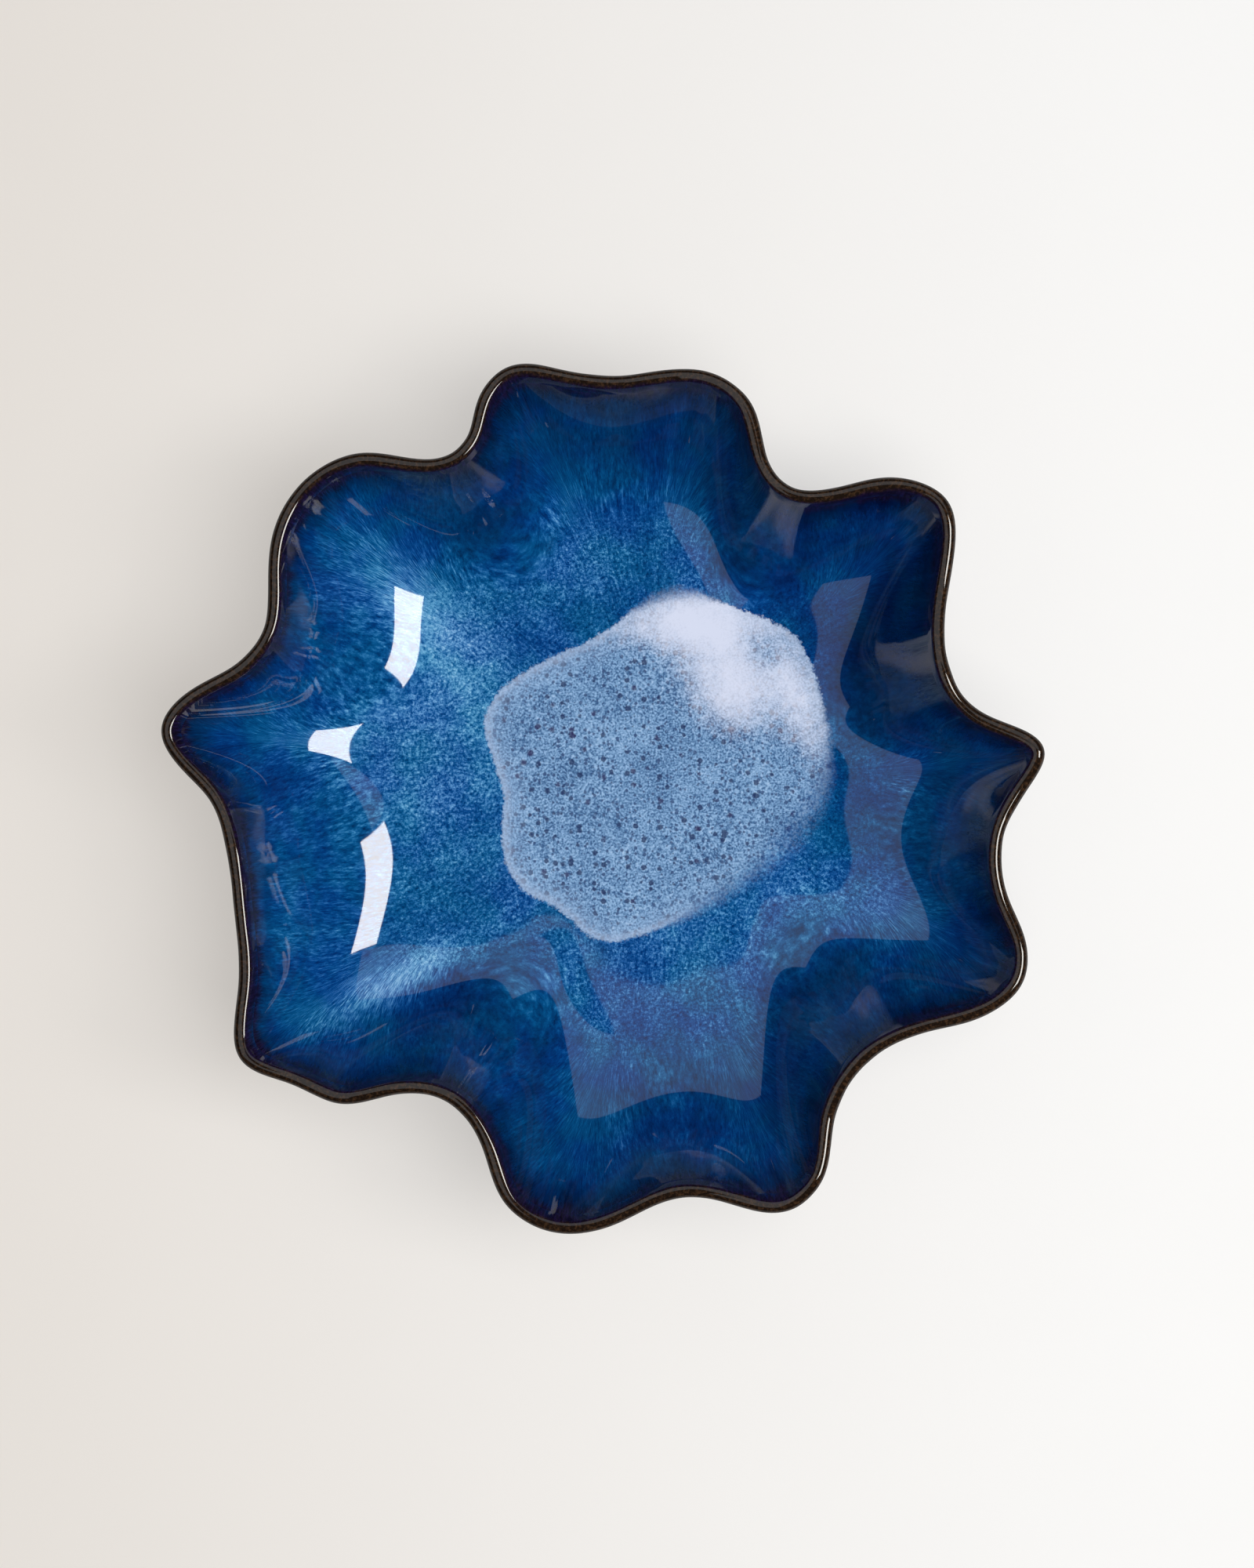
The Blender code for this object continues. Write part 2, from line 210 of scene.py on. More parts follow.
class Wall:
    """The mid surface of the clay along a set of angles round the bowl."""

    def __init__(self, angle):
        self.angle = angle
        self.turns = np.exp(1j * angle[:, None] * ORDER) * RIPPLES
        strength = np.exp(-((ORDER / LOBE_HARMONICS) ** 2)) - (ORDER < SMOOTH_HARMONICS)
        lobe = (self.add_ripples(strength) + FOLD_DEPTH) / (FOLD_DEPTH + LOBE_REACH)
        self.rise = FOLD_RISE + (LOBE_RISE - FOLD_RISE) * lobe
        self.start = FOLD_START + (LOBE_START - FOLD_START) * lobe
        self.power = FOLD_POWER + (LOBE_POWER - FOLD_POWER) * lobe

    def add_ripples(self, strength):
        """The sum of the rim's ripples, each weakened by its strength."""
        return np.real(np.sum(self.turns * strength, axis=-1))

    def rim(self, share):
        """The rim's radius with as much of its ruffle as is left at a share of the way up to it."""
        return self.add_ripples(np.maximum(share, SMALLEST_SHARE)[:, None] ** FADING)

    def share_at(self, radius):
        """The share of the way to the lip at which the wall has this radius."""
        share = radius / self.rim(np.ones(len(self.angle)))
        for _ in range(SOLVING_ROUNDS):
            share = radius / self.rim(share)
        return share

    def points(self, share):
        radius = share * self.rim(share)
        at_centre = rounded_start(-self.start)
        at_lip = rounded_start(1.0 - self.start)
        climb = (rounded_start(share - self.start) - at_centre) / (at_lip - at_centre)
        floor = FOOT_HEIGHT + GAP + CLAY_AT_FLOOR / 2.0
        height = floor + self.rise * np.maximum(climb, 0.0) ** self.power
        height = height + FLOOR_DISH * (radius / DISH_RADIUS) ** 2
        x = WELL_CENTRE[0] + radius * np.cos(self.angle)
        y = WELL_CENTRE[1] + radius * np.sin(self.angle)
        return np.stack([x, y, height], axis=-1)


def directions(share):
    """Two unit directions on the mid surface: up along the wall, and square to it, into the bowl."""
    up = WALL.points(share + SMALL_STEP) - WALL.points(share - SMALL_STEP)
    beside = WALL_AHEAD.points(share) - WALL_BEHIND.points(share)
    return unit(up), unit(np.cross(up, beside))


def clay_thickness(share):
    return CLAY_AT_FLOOR + (CLAY_AT_LIP - CLAY_AT_FLOOR) * share


def inside_ring(share, above_clay):
    """A ring of points at a distance above the clay's inner face."""
    _, inward = directions(share)
    distance = clay_thickness(share) / 2.0 + above_clay
    return WALL.points(share) + inward * np.asarray(distance)[..., None]


def outside_ring(share, above_clay):
    """A ring of points at a distance outside the clay's outer face, flat over the foot."""
    _, inward = directions(share)
    distance = clay_thickness(share) / 2.0 + above_clay
    points = WALL.points(share) - inward * np.asarray(distance)[..., None]
    from_axis = np.hypot(points[:, 0] - WELL_CENTRE[0], points[:, 1] - WELL_CENTRE[1])
    blend = np.clip((from_axis - BASE_RADIUS) / BASE_BLEND, 0.0, 1.0)
    blend = blend * blend * (3.0 - 2.0 * blend)
    flat = FOOT_HEIGHT + GAP - above_clay
    points[:, 2] = flat + (points[:, 2] - flat) * blend
    return points


def column_angles():
    """Angles of the grid lines, closest together where the lip bends most tightly."""
    step = np.roll(RIM_CURVE, -1, axis=0) - RIM_CURVE
    heading = np.unwrap(np.arctan2(step[:, 1], step[:, 0]))
    turn = np.abs(np.diff(heading, append=heading[0] + FULL_TURN))
    weight = np.linalg.norm(step, axis=1) + BEND_CROWDING * turn
    travelled = np.concatenate([[0.0], np.cumsum(weight)])
    wanted = np.linspace(0.0, travelled[-1], COLUMNS, endpoint=False)
    place = np.interp(wanted, travelled, np.arange(len(travelled)))
    angle = np.unwrap(np.arctan2(RIM_CURVE[:, 1], RIM_CURVE[:, 0]))
    angle = np.append(angle, angle[0] + FULL_TURN)
    return np.interp(place, np.arange(len(angle)), angle)


ANGLES = column_angles()
WALL = Wall(ANGLES)
WALL_AHEAD = Wall(ANGLES + SMALL_STEP)
WALL_BEHIND = Wall(ANGLES - SMALL_STEP)


def crowded(start, end, rows):
    """Rows of shares from start to end, crowded towards the end."""
    left = (1.0 - np.linspace(0.0, 1.0, rows + 1)) ** ROW_CROWDING
    return [end - (end - start) * rest for rest in left]


def circle_share(radius):
    return WALL.share_at(np.full(COLUMNS, float(radius)))


def periodic_noise(wave_counts, size):
    """A smooth closed wobble round the bowl, of about the given size, for each column."""
    wobble = np.zeros(COLUMNS)
    for waves in wave_counts:
        phase = rng.uniform(0.0, FULL_TURN)
        wobble += np.sin(ANGLES * waves + phase) / np.sqrt(len(wave_counts))
    return wobble * size


# --------------------------------------------------------------------------- unevenness

wave_heading = rng.uniform(0.0, np.pi, WAVES)
wave_length = np.exp(rng.uniform(*np.log(WAVE_LENGTHS), WAVES))
wave_phase = rng.uniform(0.0, FULL_TURN, WAVES)


def unevenness(points):
    """How far the fired surface stands above or below its ideal form, in mm."""
    height = np.zeros(points.shape[:-1])
    for heading, length, phase in zip(wave_heading, wave_length, wave_phase):
        along = points[..., 0] * np.cos(heading) + points[..., 1] * np.sin(heading)
        height += np.sin(FULL_TURN * along / length + phase) * length / WAVE_LENGTHS[1]
    return height * WAVE_HEIGHT


def uneven_inside_ring(share, above_clay):
    ring = inside_ring(share, above_clay)
    _, inward = directions(share)
    return ring + inward * unevenness(ring)[:, None]


# --------------------------------------------------------------------------- meshes


def signed_volume(points, faces):
    """Six times the volume, positive when the faces point out. Each face is a triangle here."""
    a, b, c = (points[faces[:, k]] for k in range(3))
    return np.sum(np.einsum("ij,ij->i", a, np.cross(b, c)))


def ring_faces(rows, columns, wrap):
    """Quads between neighbouring rings, and with wrap from the last ring back to the first."""
    row = np.arange(rows if wrap else rows - 1)[:, None]
    column = np.arange(columns)[None, :]
    after = (row + 1) % rows
    beside = (column + 1) % columns
    corners = (
        row * columns + column,
        row * columns + beside,
        after * columns + beside,
        after * columns + column,
    )
    return np.stack([np.broadcast_to(c, (len(row), columns)).ravel() for c in corners], axis=1)


def make_piece(name, rings, traits, material, tips=None):
    """A closed object from rings of points (mm), joined in order.

    Without tips the last ring joins the first. With tips, a point closes each end with a fan. traits
    gives a number or a vector for each point of the rings.
    """
    rings = np.array(rings)
    rows, columns, _ = rings.shape
    points = rings.reshape(-1, 3)
    quads = ring_faces(rows, columns, tips is None)
    fans = np.zeros((0, 3), dtype=int)
    if tips is not None:
        first, last = len(points), len(points) + 1
        points = np.vstack([points, tips])
        here = np.arange(columns)
        beside = (here + 1) % columns
        end = (rows - 1) * columns
        start_fan = np.stack([np.full(columns, first), beside, here], axis=1)
        end_fan = np.stack([np.full(columns, last), end + here, end + beside], axis=1)
        fans = np.vstack([start_fan, end_fan])
    triangles = np.vstack([quads[:, [0, 1, 2]], quads[:, [0, 2, 3]], fans])
    if signed_volume(points, triangles) < 0.0:
        quads = quads[:, ::-1]
        fans = fans[:, ::-1]
    data = bpy.data.meshes.new(name)
    data.from_pydata(points * MILLIMETRE, [], quads.tolist() + fans.tolist())
    for trait, values in traits.items():
        add_trait(data, trait, np.array(values), tips is not None)
    data.shade_smooth()
    data.set_sharp_from_angle(angle=np.radians(SHARPEST_SMOOTH))
    data.materials.append(material)
    data.validate()
    item = bpy.data.objects.new(name, data)
    bpy.context.scene.collection.objects.link(item)
    return item


def add_trait(data, trait, values, has_tips):
    """Stores one number or vector for each vertex, for the material to read."""
    if has_tips:
        ends = [values[0].mean(axis=0), values[-1].mean(axis=0)]
    if values.ndim == 3:
        flat = values.reshape(-1, 3)
        if has_tips:
            flat = np.vstack([flat, ends])
        layer = data.attributes.new(trait, "FLOAT_VECTOR", "POINT")
        layer.data.foreach_set("vector", flat.astype(np.float32).ravel())
        return
    flat = values.ravel()
    if has_tips:
        flat = np.append(flat, ends)
    layer = data.attributes.new(trait, "FLOAT", "POINT")
    layer.data.foreach_set("value", flat.astype(np.float32))


# --------------------------------------------------------------------------- where the glaze ran

BEAD_SEAM = 1.0      # from the inside coat's last row to the bead's half circle
UPHILL_PULL = 0.05   # a small pull straight out, so that the way up always reaches the lip
WIDEST_TURN = 12.0   # columns that the way up may cross between two rows
SMALLEST_CROSSING = 1e-6


def gradient_round(values):
    return (np.roll(values, -1, axis=1) - np.roll(values, 1, axis=1)) / 2.0


def rim_arc():
    """Distance along the lip at each column, and its whole length, in mm."""
    ring = WALL.points(np.ones(COLUMNS))
    step = np.linalg.norm(np.roll(ring, -1, axis=0) - ring, axis=1)
    return np.concatenate([[0.0], np.cumsum(step)[:-1]]), step.sum()


def source_on_lip(grid):
    """For each point of a grid from the well to the lip, the place on the lip (mm) that its glaze ran
    down from: the steepest way up leads there."""
    arc, length = rim_arc()
    round_x, round_y, round_z = (gradient_round(grid[..., k]) for k in range(3))
    out_x, out_y, out_z = (np.gradient(grid[..., k], axis=0) for k in range(3))
    area = round_x * out_y - round_y * out_x
    slope_x = (round_z * out_y - out_z * round_y) / area
    slope_y = (out_z * round_x - round_z * out_x) / area
    outward = unit(grid[..., :2] - np.array(WELL_CENTRE))
    up_x = slope_x + UPHILL_PULL * outward[..., 0]
    up_y = slope_y + UPHILL_PULL * outward[..., 1]
    columns_crossed = up_x * out_y - up_y * out_x
    rows_crossed = round_x * up_y - round_y * up_x
    sign = np.sign(area)
    turn = columns_crossed * sign / np.maximum(rows_crossed * sign, SMALLEST_CROSSING)
    turn = np.clip(turn, -WIDEST_TURN, WIDEST_TURN)
    source = np.empty(grid.shape[:2])
    source[-1] = arc
    index = np.arange(COLUMNS)
    wide = np.concatenate([index - COLUMNS, index, index + COLUMNS])
    for row in range(len(grid) - 2, -1, -1):
        above = np.unwrap(source[row + 1] * FULL_TURN / length) * length / FULL_TURN
        above = np.concatenate([above - length, above, above + length])
        source[row] = np.interp(index + turn[row], wide, above)
    return source, length


def on_cylinder(source, run, length, stretch):
    """Places for streak patterns: round a cylinder as long round as the lip, and along the run."""
    turn = source * FULL_TURN / length
    radius = length / FULL_TURN
    return np.stack([radius * np.cos(turn), radius * np.sin(turn), run / stretch], axis=-1)


# --------------------------------------------------------------------------- traits of the inside

STREAK_STRETCH = 5.0

# Soft patches where more of the second glaze lies, some of them painted light: x, y, long and short
# half axis (mm), heading of the long axis (degrees) and strength.
PALE_GLAZE_AND_LIT_PATCHES = (
    (-66, 64, 30, 13, -52, 0.20),
    (-9, 92, 24, 10, -55, 0.10),
    (-50, 8, 30, 34, 0, 0.05),
    (-78, -68, 32, 7, 30, 0.34),
    (90, -40, 26, 16, -30, 0.12),
    # Painted light: these two lighten the left walls, which face the lamps on the right.
    (-122, -44, 26, 40, 0, 0.20),
    (-110, 44, 26, 36, 0, 0.14),
    (92, -84, 26, 16, 40, 0.10),
    (118, -16, 16, 24, 0, 0.06),
    (-92, 88, 26, 22, -40, 0.14),
    (-66, -100, 30, 14, -20, 0.10),
    (30, -132, 40, 14, 0, 0.12),
)
# Patches of darker glaze in the same form, some of them painted shade.
DARK_GLAZE_AND_SHADE_PATCHES = (
    (0, 66, 30, 12, 20, 0.08),
    (-4, 88, 40, 22, 0, 0.08),
    (-52, -46, 30, 22, 30, 0.12),
    (108, 66, 32, 28, 0, 0.10),
    (8, 122, 60, 22, 0, 0.06),
    (26, -94, 40, 34, 0, 0.09),
    # Painted shade: this one darkens the right side, which faces away from the lamps.
    (92, 0, 20, 60, 0, 0.20),
    (72, 66, 22, 14, -40, 0.16),
)
# Whitish patches of opaque glaze in the pool, brightened by painted sheen; the negative one leaves a greyer
# spot in them: x, y, long and short half axis (mm), heading of the long axis (degrees) and strength.
CLOUD_AND_SHEEN_PATCHES = (
    (47, 40, 20, 15, -40, 0.95),
    (28, 65, 20, 12, 0, 0.85),
    (50, 62, 26, 12, -38, 0.62),
    (70, 44, 26, 9, -66, 0.60),
    (76, 22, 14, 8, -80, 0.30),
    (4, 62, 20, 7, 20, 0.24),
    (60, 55, 11, 7, -40, -0.55),
)
FUZZY_EDGE = ((72, -10, 22, 30, 0, 1.0), (46, -36, 20, 14, 30, 0.6), (24, 76, 14, 8, 0, 0.5))


def patches(points, table):
    """The summed strength of soft elliptical patches at each point."""
    total = np.zeros(points.shape[:-1])
    for x, y, long_axis, short_axis, heading, strength in table:
        turn = np.radians(heading)
        dx, dy = points[..., 0] - x, points[..., 1] - y
        along = (dx * np.cos(turn) + dy * np.sin(turn)) / long_axis
        across = (dy * np.cos(turn) - dx * np.sin(turn)) / short_axis
        total += strength * np.exp(-(along**2 + across**2))
    return total


def distance_along(grid):
    """Distance up each column from the first row, in mm."""
    step = np.linalg.norm(np.diff(grid, axis=0), axis=-1)
    return np.concatenate([np.zeros((1, grid.shape[1])), np.cumsum(step, axis=0)])


def inside_traits(grid):
    """Everything that the inside's materials need to know about each point."""
    climb = distance_along(grid)
    source, length = source_on_lip(grid)
    to_lip = climb[-1] - climb
    pool_edge = radius_at(POOL_CURVE, ANGLES)
    from_well = np.hypot(grid[..., 0] - WELL_CENTRE[0], grid[..., 1] - WELL_CENTRE[1])
    round_ = np.stack([gradient_round(grid[..., k]) for k in range(3)], axis=-1)
    out = np.stack([np.gradient(grid[..., k], axis=0) for k in range(3)], axis=-1)
    normal = unit(np.cross(round_, out))
    steep = np.degrees(np.arccos(np.clip(np.abs(normal[..., 2]), 0.0, 1.0))) / 90.0
    return {
        "run": on_cylinder(source, to_lip, length, STREAK_STRETCH),
        "to_lip": to_lip,
        "past_pool": from_well - pool_edge,
        "steep": steep,
        # Pale and dark glaze, with painted light on the left walls and painted shade on the right side.
        "pale": patches(grid, PALE_GLAZE_AND_LIT_PATCHES) - patches(grid, DARK_GLAZE_AND_SHADE_PATCHES),
        "cloud_and_sheen": patches(grid, CLOUD_AND_SHEEN_PATCHES),
        "fuzz": patches(grid, FUZZY_EDGE),
    }


def split_traits(traits, rows):
    return {name: values[rows] for name, values in traits.items()}


def join_traits(parts):
    return {name: np.concatenate([part[name] for part in parts]) for name in parts[0]}


# --------------------------------------------------------------------------- materials


def paint(red, green, blue):
    """A linear colour from the usual 0 to 255 screen values."""
    share = np.array([red, green, blue]) / 255.0
    linear = np.where(share <= 0.04045, share / 12.92, ((share + 0.055) / 1.055) ** 2.4)
    return (*[float(v) for v in linear], 1.0)


class Graph:
    """A material's nodes, written as short calls."""

    def __init__(self, name):
        self.material = bpy.data.materials.new(name)
        self.material.use_nodes = True
        self.tree = self.material.node_tree
        self.shader = self.tree.nodes["Principled BSDF"]

    def node(self, kind, **settings):
        node = self.tree.nodes.new(kind)
        for name, value in settings.items():
            setattr(node, name, value)
        return node

    def feed(self, socket, value):
        if isinstance(value, bpy.types.NodeSocket):
            self.tree.links.new(value, socket)
        else:
            socket.default_value = value

    def math(self, operation, *values):
        node = self.node("ShaderNodeMath", operation=operation)
        for socket, value in zip(node.inputs, values):
            self.feed(socket, value)
        return node.outputs[0]

    def add(self, *values):
        total = values[0]
        for value in values[1:]:
            total = self.math("ADD", total, value)
        return total

    def times(self, first, second):
        return self.math("MULTIPLY", first, second)

    def step(self, value, low, high, start=0.0, end=1.0):
        """Rises smoothly from start at low to end at high."""
        node = self.node("ShaderNodeMapRange", interpolation_type="SMOOTHSTEP")
        for socket, number in zip(node.inputs, (value, low, high, start, end)):
            self.feed(socket, number)
        return node.outputs[0]

    def ramp(self, value, stops):
        """A colour that changes through the stops, each a place from 0 to 1 and a colour."""
        node = self.node("ShaderNodeValToRGB")
        self.feed(node.inputs[0], value)
        elements = node.color_ramp.elements
        while len(elements) < len(stops):
            elements.new(1.0)
        for element, (place, colour) in zip(elements, stops):
            element.position = place
            element.color = colour
        return node.outputs[0]

    def mix(self, share, first, second):
        node = self.node("ShaderNodeMix", data_type="RGBA")
        self.feed(node.inputs[0], share)
        self.feed(node.inputs[6], first)
        self.feed(node.inputs[7], second)
        return node.outputs[2]

    def centred(self, value, size):
        """A noise around 0.5 turned into an offset around 0."""
        return self.times(self.math("SUBTRACT", value, 0.5), size)

    def mix_number(self, share, first, second):
        node = self.node("ShaderNodeMix", data_type="FLOAT")
        self.feed(node.inputs[0], share)
        self.feed(node.inputs[2], first)
        self.feed(node.inputs[3], second)
        return node.outputs[0]

    def trait(self, name, vector=False):
        node = self.node("ShaderNodeAttribute", attribute_name=name)
        return node.outputs["Vector" if vector else "Fac"]

    def place(self):
        """The point itself, in mm."""
        node = self.node("ShaderNodeVectorMath", operation="SCALE")
        self.feed(node.inputs[0], self.node("ShaderNodeTexCoord").outputs["Object"])
        node.inputs["Scale"].default_value = 1.0 / MILLIMETRE
        return node.outputs[0]

    def vector(self, operation, first, second):
        node = self.node("ShaderNodeVectorMath", operation=operation)
        self.feed(node.inputs[0], first)
        self.feed(node.inputs[1], second)
        return node.outputs["Value" if operation == "DISTANCE" else "Vector"]

    def noise(self, where, size, detail=2.0, roughness=0.5):
        """Soft noise with spots of about this size, in mm, around 0.5."""
        node = self.node("ShaderNodeTexNoise")
        self.feed(node.inputs["Vector"], where)
        node.inputs["Scale"].default_value = 1.0 / size
        node.inputs["Detail"].default_value = detail
        node.inputs["Roughness"].default_value = roughness
        return node.outputs["Fac"]

    def specks(self, where, size, rare, largest, ragged=None):
        """How far each point is outside the nearest speck, in cells of this size (mm)."""
        cells = self.node("ShaderNodeTexVoronoi")
        self.feed(cells.inputs["Vector"], where)
        cells.inputs["Scale"].default_value = 1.0 / size
        chance = self.node("ShaderNodeSeparateColor")
        self.feed(chance.inputs[0], cells.outputs["Color"])
        reach = self.step(chance.outputs[0], rare, 1.0, 0.0, largest)
        away = cells.outputs["Distance"]
        if ragged is not None:
            away = self.add(away, ragged)
        return self.math("SUBTRACT", away, reach)

    def bump(self, height, distance):
        node = self.node("ShaderNodeBump")
        node.inputs["Distance"].default_value = distance * MILLIMETRE
        self.feed(node.inputs["Height"], height)
        self.tree.links.new(node.outputs[0], self.shader.inputs["Normal"])

    def finish(self, colour, roughness):
        self.feed(self.shader.inputs["Base Color"], colour)
        self.feed(self.shader.inputs["Roughness"], roughness)
        return self.material


GLAZE_IOR = 1.52

# Dark iron spots in the pale pool: x, y and radius, in mm.
POOL_SPOTS = (
    (-12.2, 25.5, 1.3), (-19.4, 25.6, 1.2), (-27.5, 16.9, 1.4), (-37.5, 11.4, 1.0), (-32.3, 8.4, 1.2),
    (-17.2, 5.0, 1.1), (-6.2, -1.5, 1.1), (21.2, -1.0, 1.2), (19.6, 22.6, 1.0), (-34.0, -19.5, 1.2),
    (-22.4, -27.6, 1.3), (-14.0, -28.6, 1.1), (69.0, -11.5, 1.2), (35.5, 9.0, 0.8), (-4.0, 31.5, 1.0),
)


# The reactive glaze, from where it ran thin to where its pale crystals lie thickest.
BLUES = (
    (0.00, paint(3, 10, 42)),
    (0.12, paint(2, 24, 62)),
    (0.26, paint(2, 40, 90)),
    (0.40, paint(2, 57, 116)),
    (0.52, paint(6, 75, 138)),
    (0.64, paint(34, 102, 166)),
    (0.78, paint(76, 142, 198)),
    (0.92, paint(116, 174, 218)),
    (1.00, paint(150, 196, 230)),
)


# Size of the cells that each kind of speck lies in (mm), how rare it is, its reach and its colour.
POOL_SPECKS = (
    (1.7, 0.15, 0.44, paint(58, 80, 124)),
    (3.0, 0.30, 0.38, paint(40, 52, 94)),
    (6.0, 0.38, 0.24, paint(50, 42, 86)),
)


def streaked_blue(graph, where, run, steep, to_lip, pale):
    """The blue reactive glaze: pale grains that float on a darker ground and run down the wall."""
    # Round grains lie on the level floor, and are drawn out into streaks where the wall is steep.
    slope = graph.step(steep, 0.04, 0.34)
    spots = graph.noise(where, 1.15, 4.0, 0.80)
    streaks = graph.noise(run, 0.85, 4.0, 0.72)
    grain = graph.mix_number(graph.step(slope, 0.0, 1.0, 0.25, 0.95), spots, streaks)
    clumps = graph.noise(where, 13.0, 4.0, 0.6)
    wisps = graph.noise(run, 6.0, 4.0, 0.62)
    # pale brings the glaze's own pale and dark zones, and the painted light and shade of the walls.
    level = graph.add(
        pale,
        graph.centred(clumps, 0.24),
        graph.centred(wisps, 0.30),
        graph.step(steep, 0.03, 0.60, 0.60, 0.33),
    )
    edge = graph.add(to_lip, graph.centred(wisps, 10.0), graph.centred(grain, 4.0))
    # It thins towards the lip.
    level = graph.add(level, graph.step(edge, 5.0, 26.0, -0.22, 0.0))
    strength = graph.step(level, 0.15, 0.70, 0.60, 2.30)
    strength = graph.times(strength, graph.step(steep, 0.10, 0.45, 1.0, 0.60))
    tone = graph.add(level, graph.centred(grain, strength))
    colour = graph.ramp(tone, BLUES)
    # Here and there the ground is greener or more violet.
    hue = graph.noise(where, 22.0, 3.0, 0.55)
    teal = graph.node("ShaderNodeHueSaturation")
    graph.feed(teal.inputs["Color"], colour)
    graph.feed(teal.inputs["Hue"], graph.step(hue, 0.34, 0.66, 0.490, 0.506))
    colour = teal.outputs[0]
    violet = graph.mix(graph.step(grain, 0.42, 0.62), paint(16, 9, 24), paint(30, 18, 52))
    return graph.mix(graph.step(edge, 5.0, 11.0, 0.95, 0.0), colour, violet), grain


def lip_brown(graph, where, to_lip, colour):
    """Over the lip's edge the glaze breaks to a mottled, golden brown that is nearly black."""
    mottle = graph.noise(where, 1.2, 3.0, 0.6)
    brown = graph.mix(graph.step(mottle, 0.42, 0.74), paint(26, 18, 13), paint(64, 45, 30))
    wander = graph.centred(graph.noise(where, 6.0, 3.0), 2.5)
    return graph.mix(graph.step(graph.add(to_lip, wander), 2.0, 4.2, 1.0, 0.0), colour, brown)


def pale_pool(graph, where, past_pool, cloud_and_sheen, fuzz, colour):
    """The second glaze in the well: pale, speckled, whitish along its edge, with a whitish patch of opaque
    glaze and painted sheen.
    """
    fine = graph.noise(where, 0.8, 3.0, 0.66)
    mottle = graph.noise(where, 3.2, 4.0, 0.62)
    broad = graph.noise(where, 17.0, 3.0, 0.55)
    tone = graph.add(0.5, graph.centred(fine, 2.1), graph.centred(mottle, 0.5), graph.centred(broad, 0.5))
    body = graph.ramp(tone, (
        (0.0, paint(44, 72, 120)),
        (0.3, paint(74, 112, 158)),
        (0.5, paint(112, 152, 196)),
        (0.75, paint(144, 182, 222)),
        (1.0, paint(172, 200, 232)),
    ))
    # Small iron specks everywhere, and a few larger plum spots.
    for size, rare, largest, dark in POOL_SPECKS:
        away = graph.specks(where, size, rare, largest, graph.centred(fine, 0.25))
        body = graph.mix(graph.step(away, -0.10, 0.06, 0.82, 0.0), body, dark)
    flat = graph.vector("MULTIPLY", where, (1.0, 1.0, 0.0))
    ragged = graph.centred(fine, 2.0)
    for x, y, radius in POOL_SPOTS:
        away = graph.add(graph.vector("DISTANCE", flat, (x, y, 0.0)), ragged)
        body = graph.mix(graph.step(away, radius * 0.4, radius * 1.2, 0.8, 0.0), body, paint(50, 42, 88))
    wander = graph.add(
        graph.centred(graph.noise(where, 7.0, 3.0), 3.0),
        graph.centred(graph.noise(where, 1.2, 3.0, 0.7), 4.0),
    )
    edge = graph.add(past_pool, wander)
    line = graph.times(graph.step(edge, -4.5, -1.0), graph.step(edge, -0.9, 0.1, 1.0, 0.0))
    sharp = graph.math("SUBTRACT", 1.0, fuzz)
    rim = graph.times(graph.step(edge, -13.0, -1.0), sharp)
    body = graph.mix(graph.times(rim, 0.30), body, paint(158, 186, 222))
    body = graph.mix(graph.times(graph.times(line, 0.42), sharp), body, paint(172, 190, 220))
    # Opaque glaze with painted sheen: the whitish patches go towards a bright lavender white.
    opaque_and_sheen_level = graph.add(
        cloud_and_sheen,
        graph.centred(graph.noise(where, 5.0, 4.0, 0.62), 0.5),
        graph.centred(fine, 0.50),
        graph.centred(mottle, 0.30),
    )
    body = graph.mix(graph.step(opaque_and_sheen_level, 0.12, 1.15), body, paint(218, 226, 248))
    inner = graph.add(-0.5, graph.times(fuzz, -12.0))
    outer = graph.add(0.5, graph.times(fuzz, 6.0))
    return graph.mix(graph.step(edge, inner, outer, 1.0, 0.0), colour, body)


def inside_material(name):
    """One glaze for the pool, the wall and the lip's bead, so that their seams don't show."""
    graph = Graph(name)
    where = graph.place()
    run = graph.trait("run", vector=True)
    steep = graph.trait("steep")
    to_lip = graph.trait("to_lip")
    pale = graph.trait("pale")
    colour, grain = streaked_blue(graph, where, run, steep, to_lip, pale)
    colour = lip_brown(graph, where, to_lip, colour)
    past_pool, cloud_and_sheen, fuzz = (graph.trait(name) for name in ("past_pool", "cloud_and_sheen", "fuzz"))
    colour = pale_pool(graph, where, past_pool, cloud_and_sheen, fuzz, colour)
    graph.shader.inputs["IOR"].default_value = GLAZE_IOR
    graph.bump(graph.noise(where, 3.0, 2.0), 0.0004)
    return graph.finish(colour, graph.step(grain, 0.3, 0.7, 0.03, 0.05))


